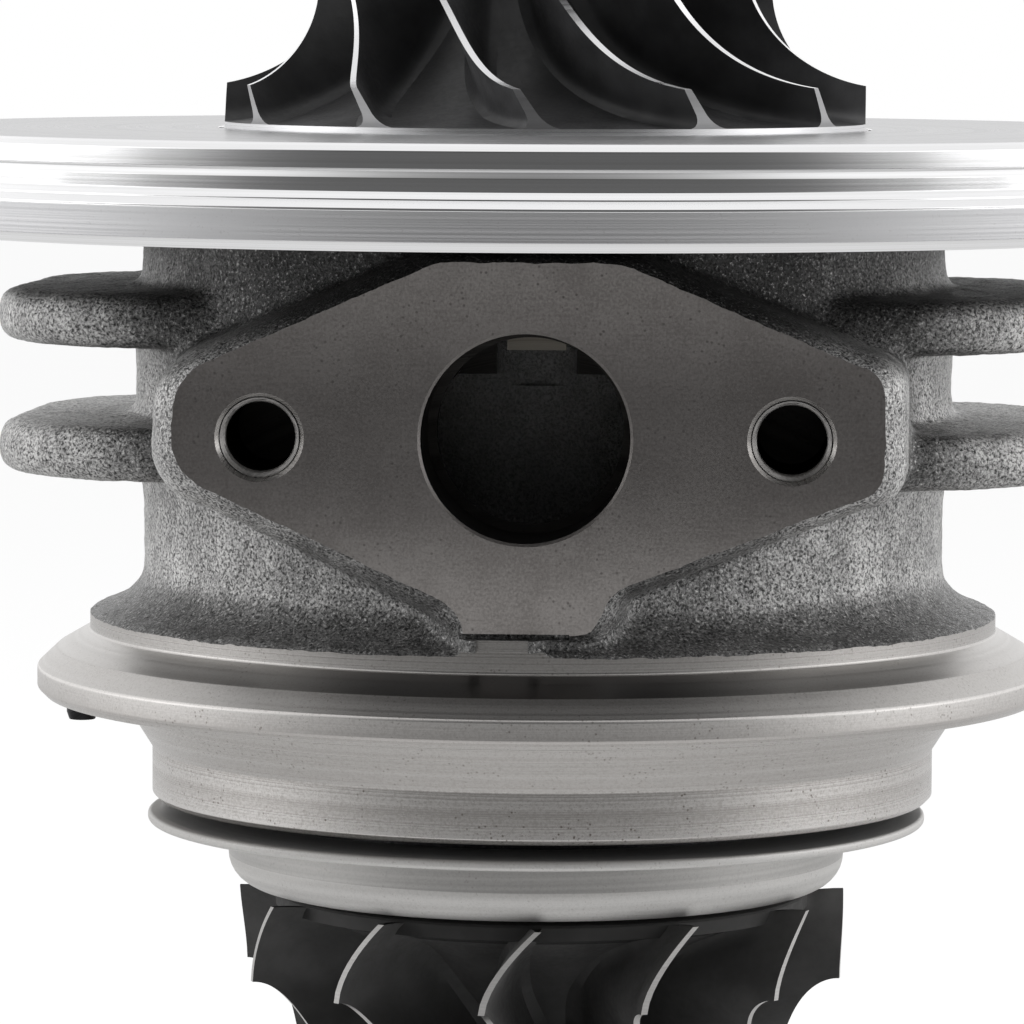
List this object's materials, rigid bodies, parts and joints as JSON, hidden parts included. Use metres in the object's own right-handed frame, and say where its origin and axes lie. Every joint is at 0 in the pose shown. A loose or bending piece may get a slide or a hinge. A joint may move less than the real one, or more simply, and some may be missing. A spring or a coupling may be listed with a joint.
{
  "type": "turbocharger cartridge",
  "caption": "Turbocharger core: a finned iron bearing housing with oil drain flange and clamp flange, a round backplate, and a rotor with bladed compressor and turbine wheels.",
  "frame": {"origin": "on the shaft axis, at the middle of the ground pilot that registers in the turbine housing", "axes": "+Z along the shaft towards the compressor wheel, -Y out of the oil drain, +X to the right when the drain is in front"},
  "size_m": [0.104, 0.104, 0.1085],
  "materials": {
    "cast_body": "shot-blasted casting with machined faces",
    "turned_aluminium": "fine turned",
    "screw_steel": "black oxide",
    "seal_rubber": "matt",
    "bronze": "turned",
    "bright_steel": "ground",
    "ring_iron": "ground",
    "shield_steel": "pressed sheet, satin",
    "black_pin": "black oxide",
    "turbine_alloy": "cast, dark, with ground tips",
    "dark_aluminium": "dark satin casting with turned tips"
  },
  "bodies": {
    "housing": {"bearing_housing": "cast_body", "compressor_backplate": "turned_aluminium", "backplate_screws": "screw_steel", "backplate_seal_ring": "seal_rubber", "thrust_bearing": "bronze", "thrust_bearing_pins": "bright_steel", "oil_deflector": "bright_steel", "compressor_piston_ring": "ring_iron", "turbine_piston_ring": "ring_iron", "bearing_circlips": "screw_steel", "heat_shield": "shield_steel", "locating_pin": "black_pin"},
    "compressor_bush": {"compressor_journal_bearing": "bronze"},
    "turbine_bush": {"turbine_journal_bearing": "bronze"},
    "rotor": {"turbine_wheel": "turbine_alloy", "rotor_shaft": "bright_steel", "thrust_collar": "bright_steel", "oil_flinger": "bright_steel", "compressor_wheel": "dark_aluminium", "compressor_nut": "bright_steel"}
  },
  "joints": [
    {"name": "rotor_spin", "type": "hinge", "parent": "housing", "child": "rotor", "pos_m": [0, 0, 0], "axis": [0, 0, 1], "continuous": true},
    {"name": "compressor_bush_spin", "type": "hinge", "parent": "housing", "child": "compressor_bush", "pos_m": [0, 0, 0.0268], "axis": [0, 0, 1], "continuous": true},
    {"name": "turbine_bush_spin", "type": "hinge", "parent": "housing", "child": "turbine_bush", "pos_m": [0, 0, 0.0109], "axis": [0, 0, 1], "continuous": true}
  ]
}
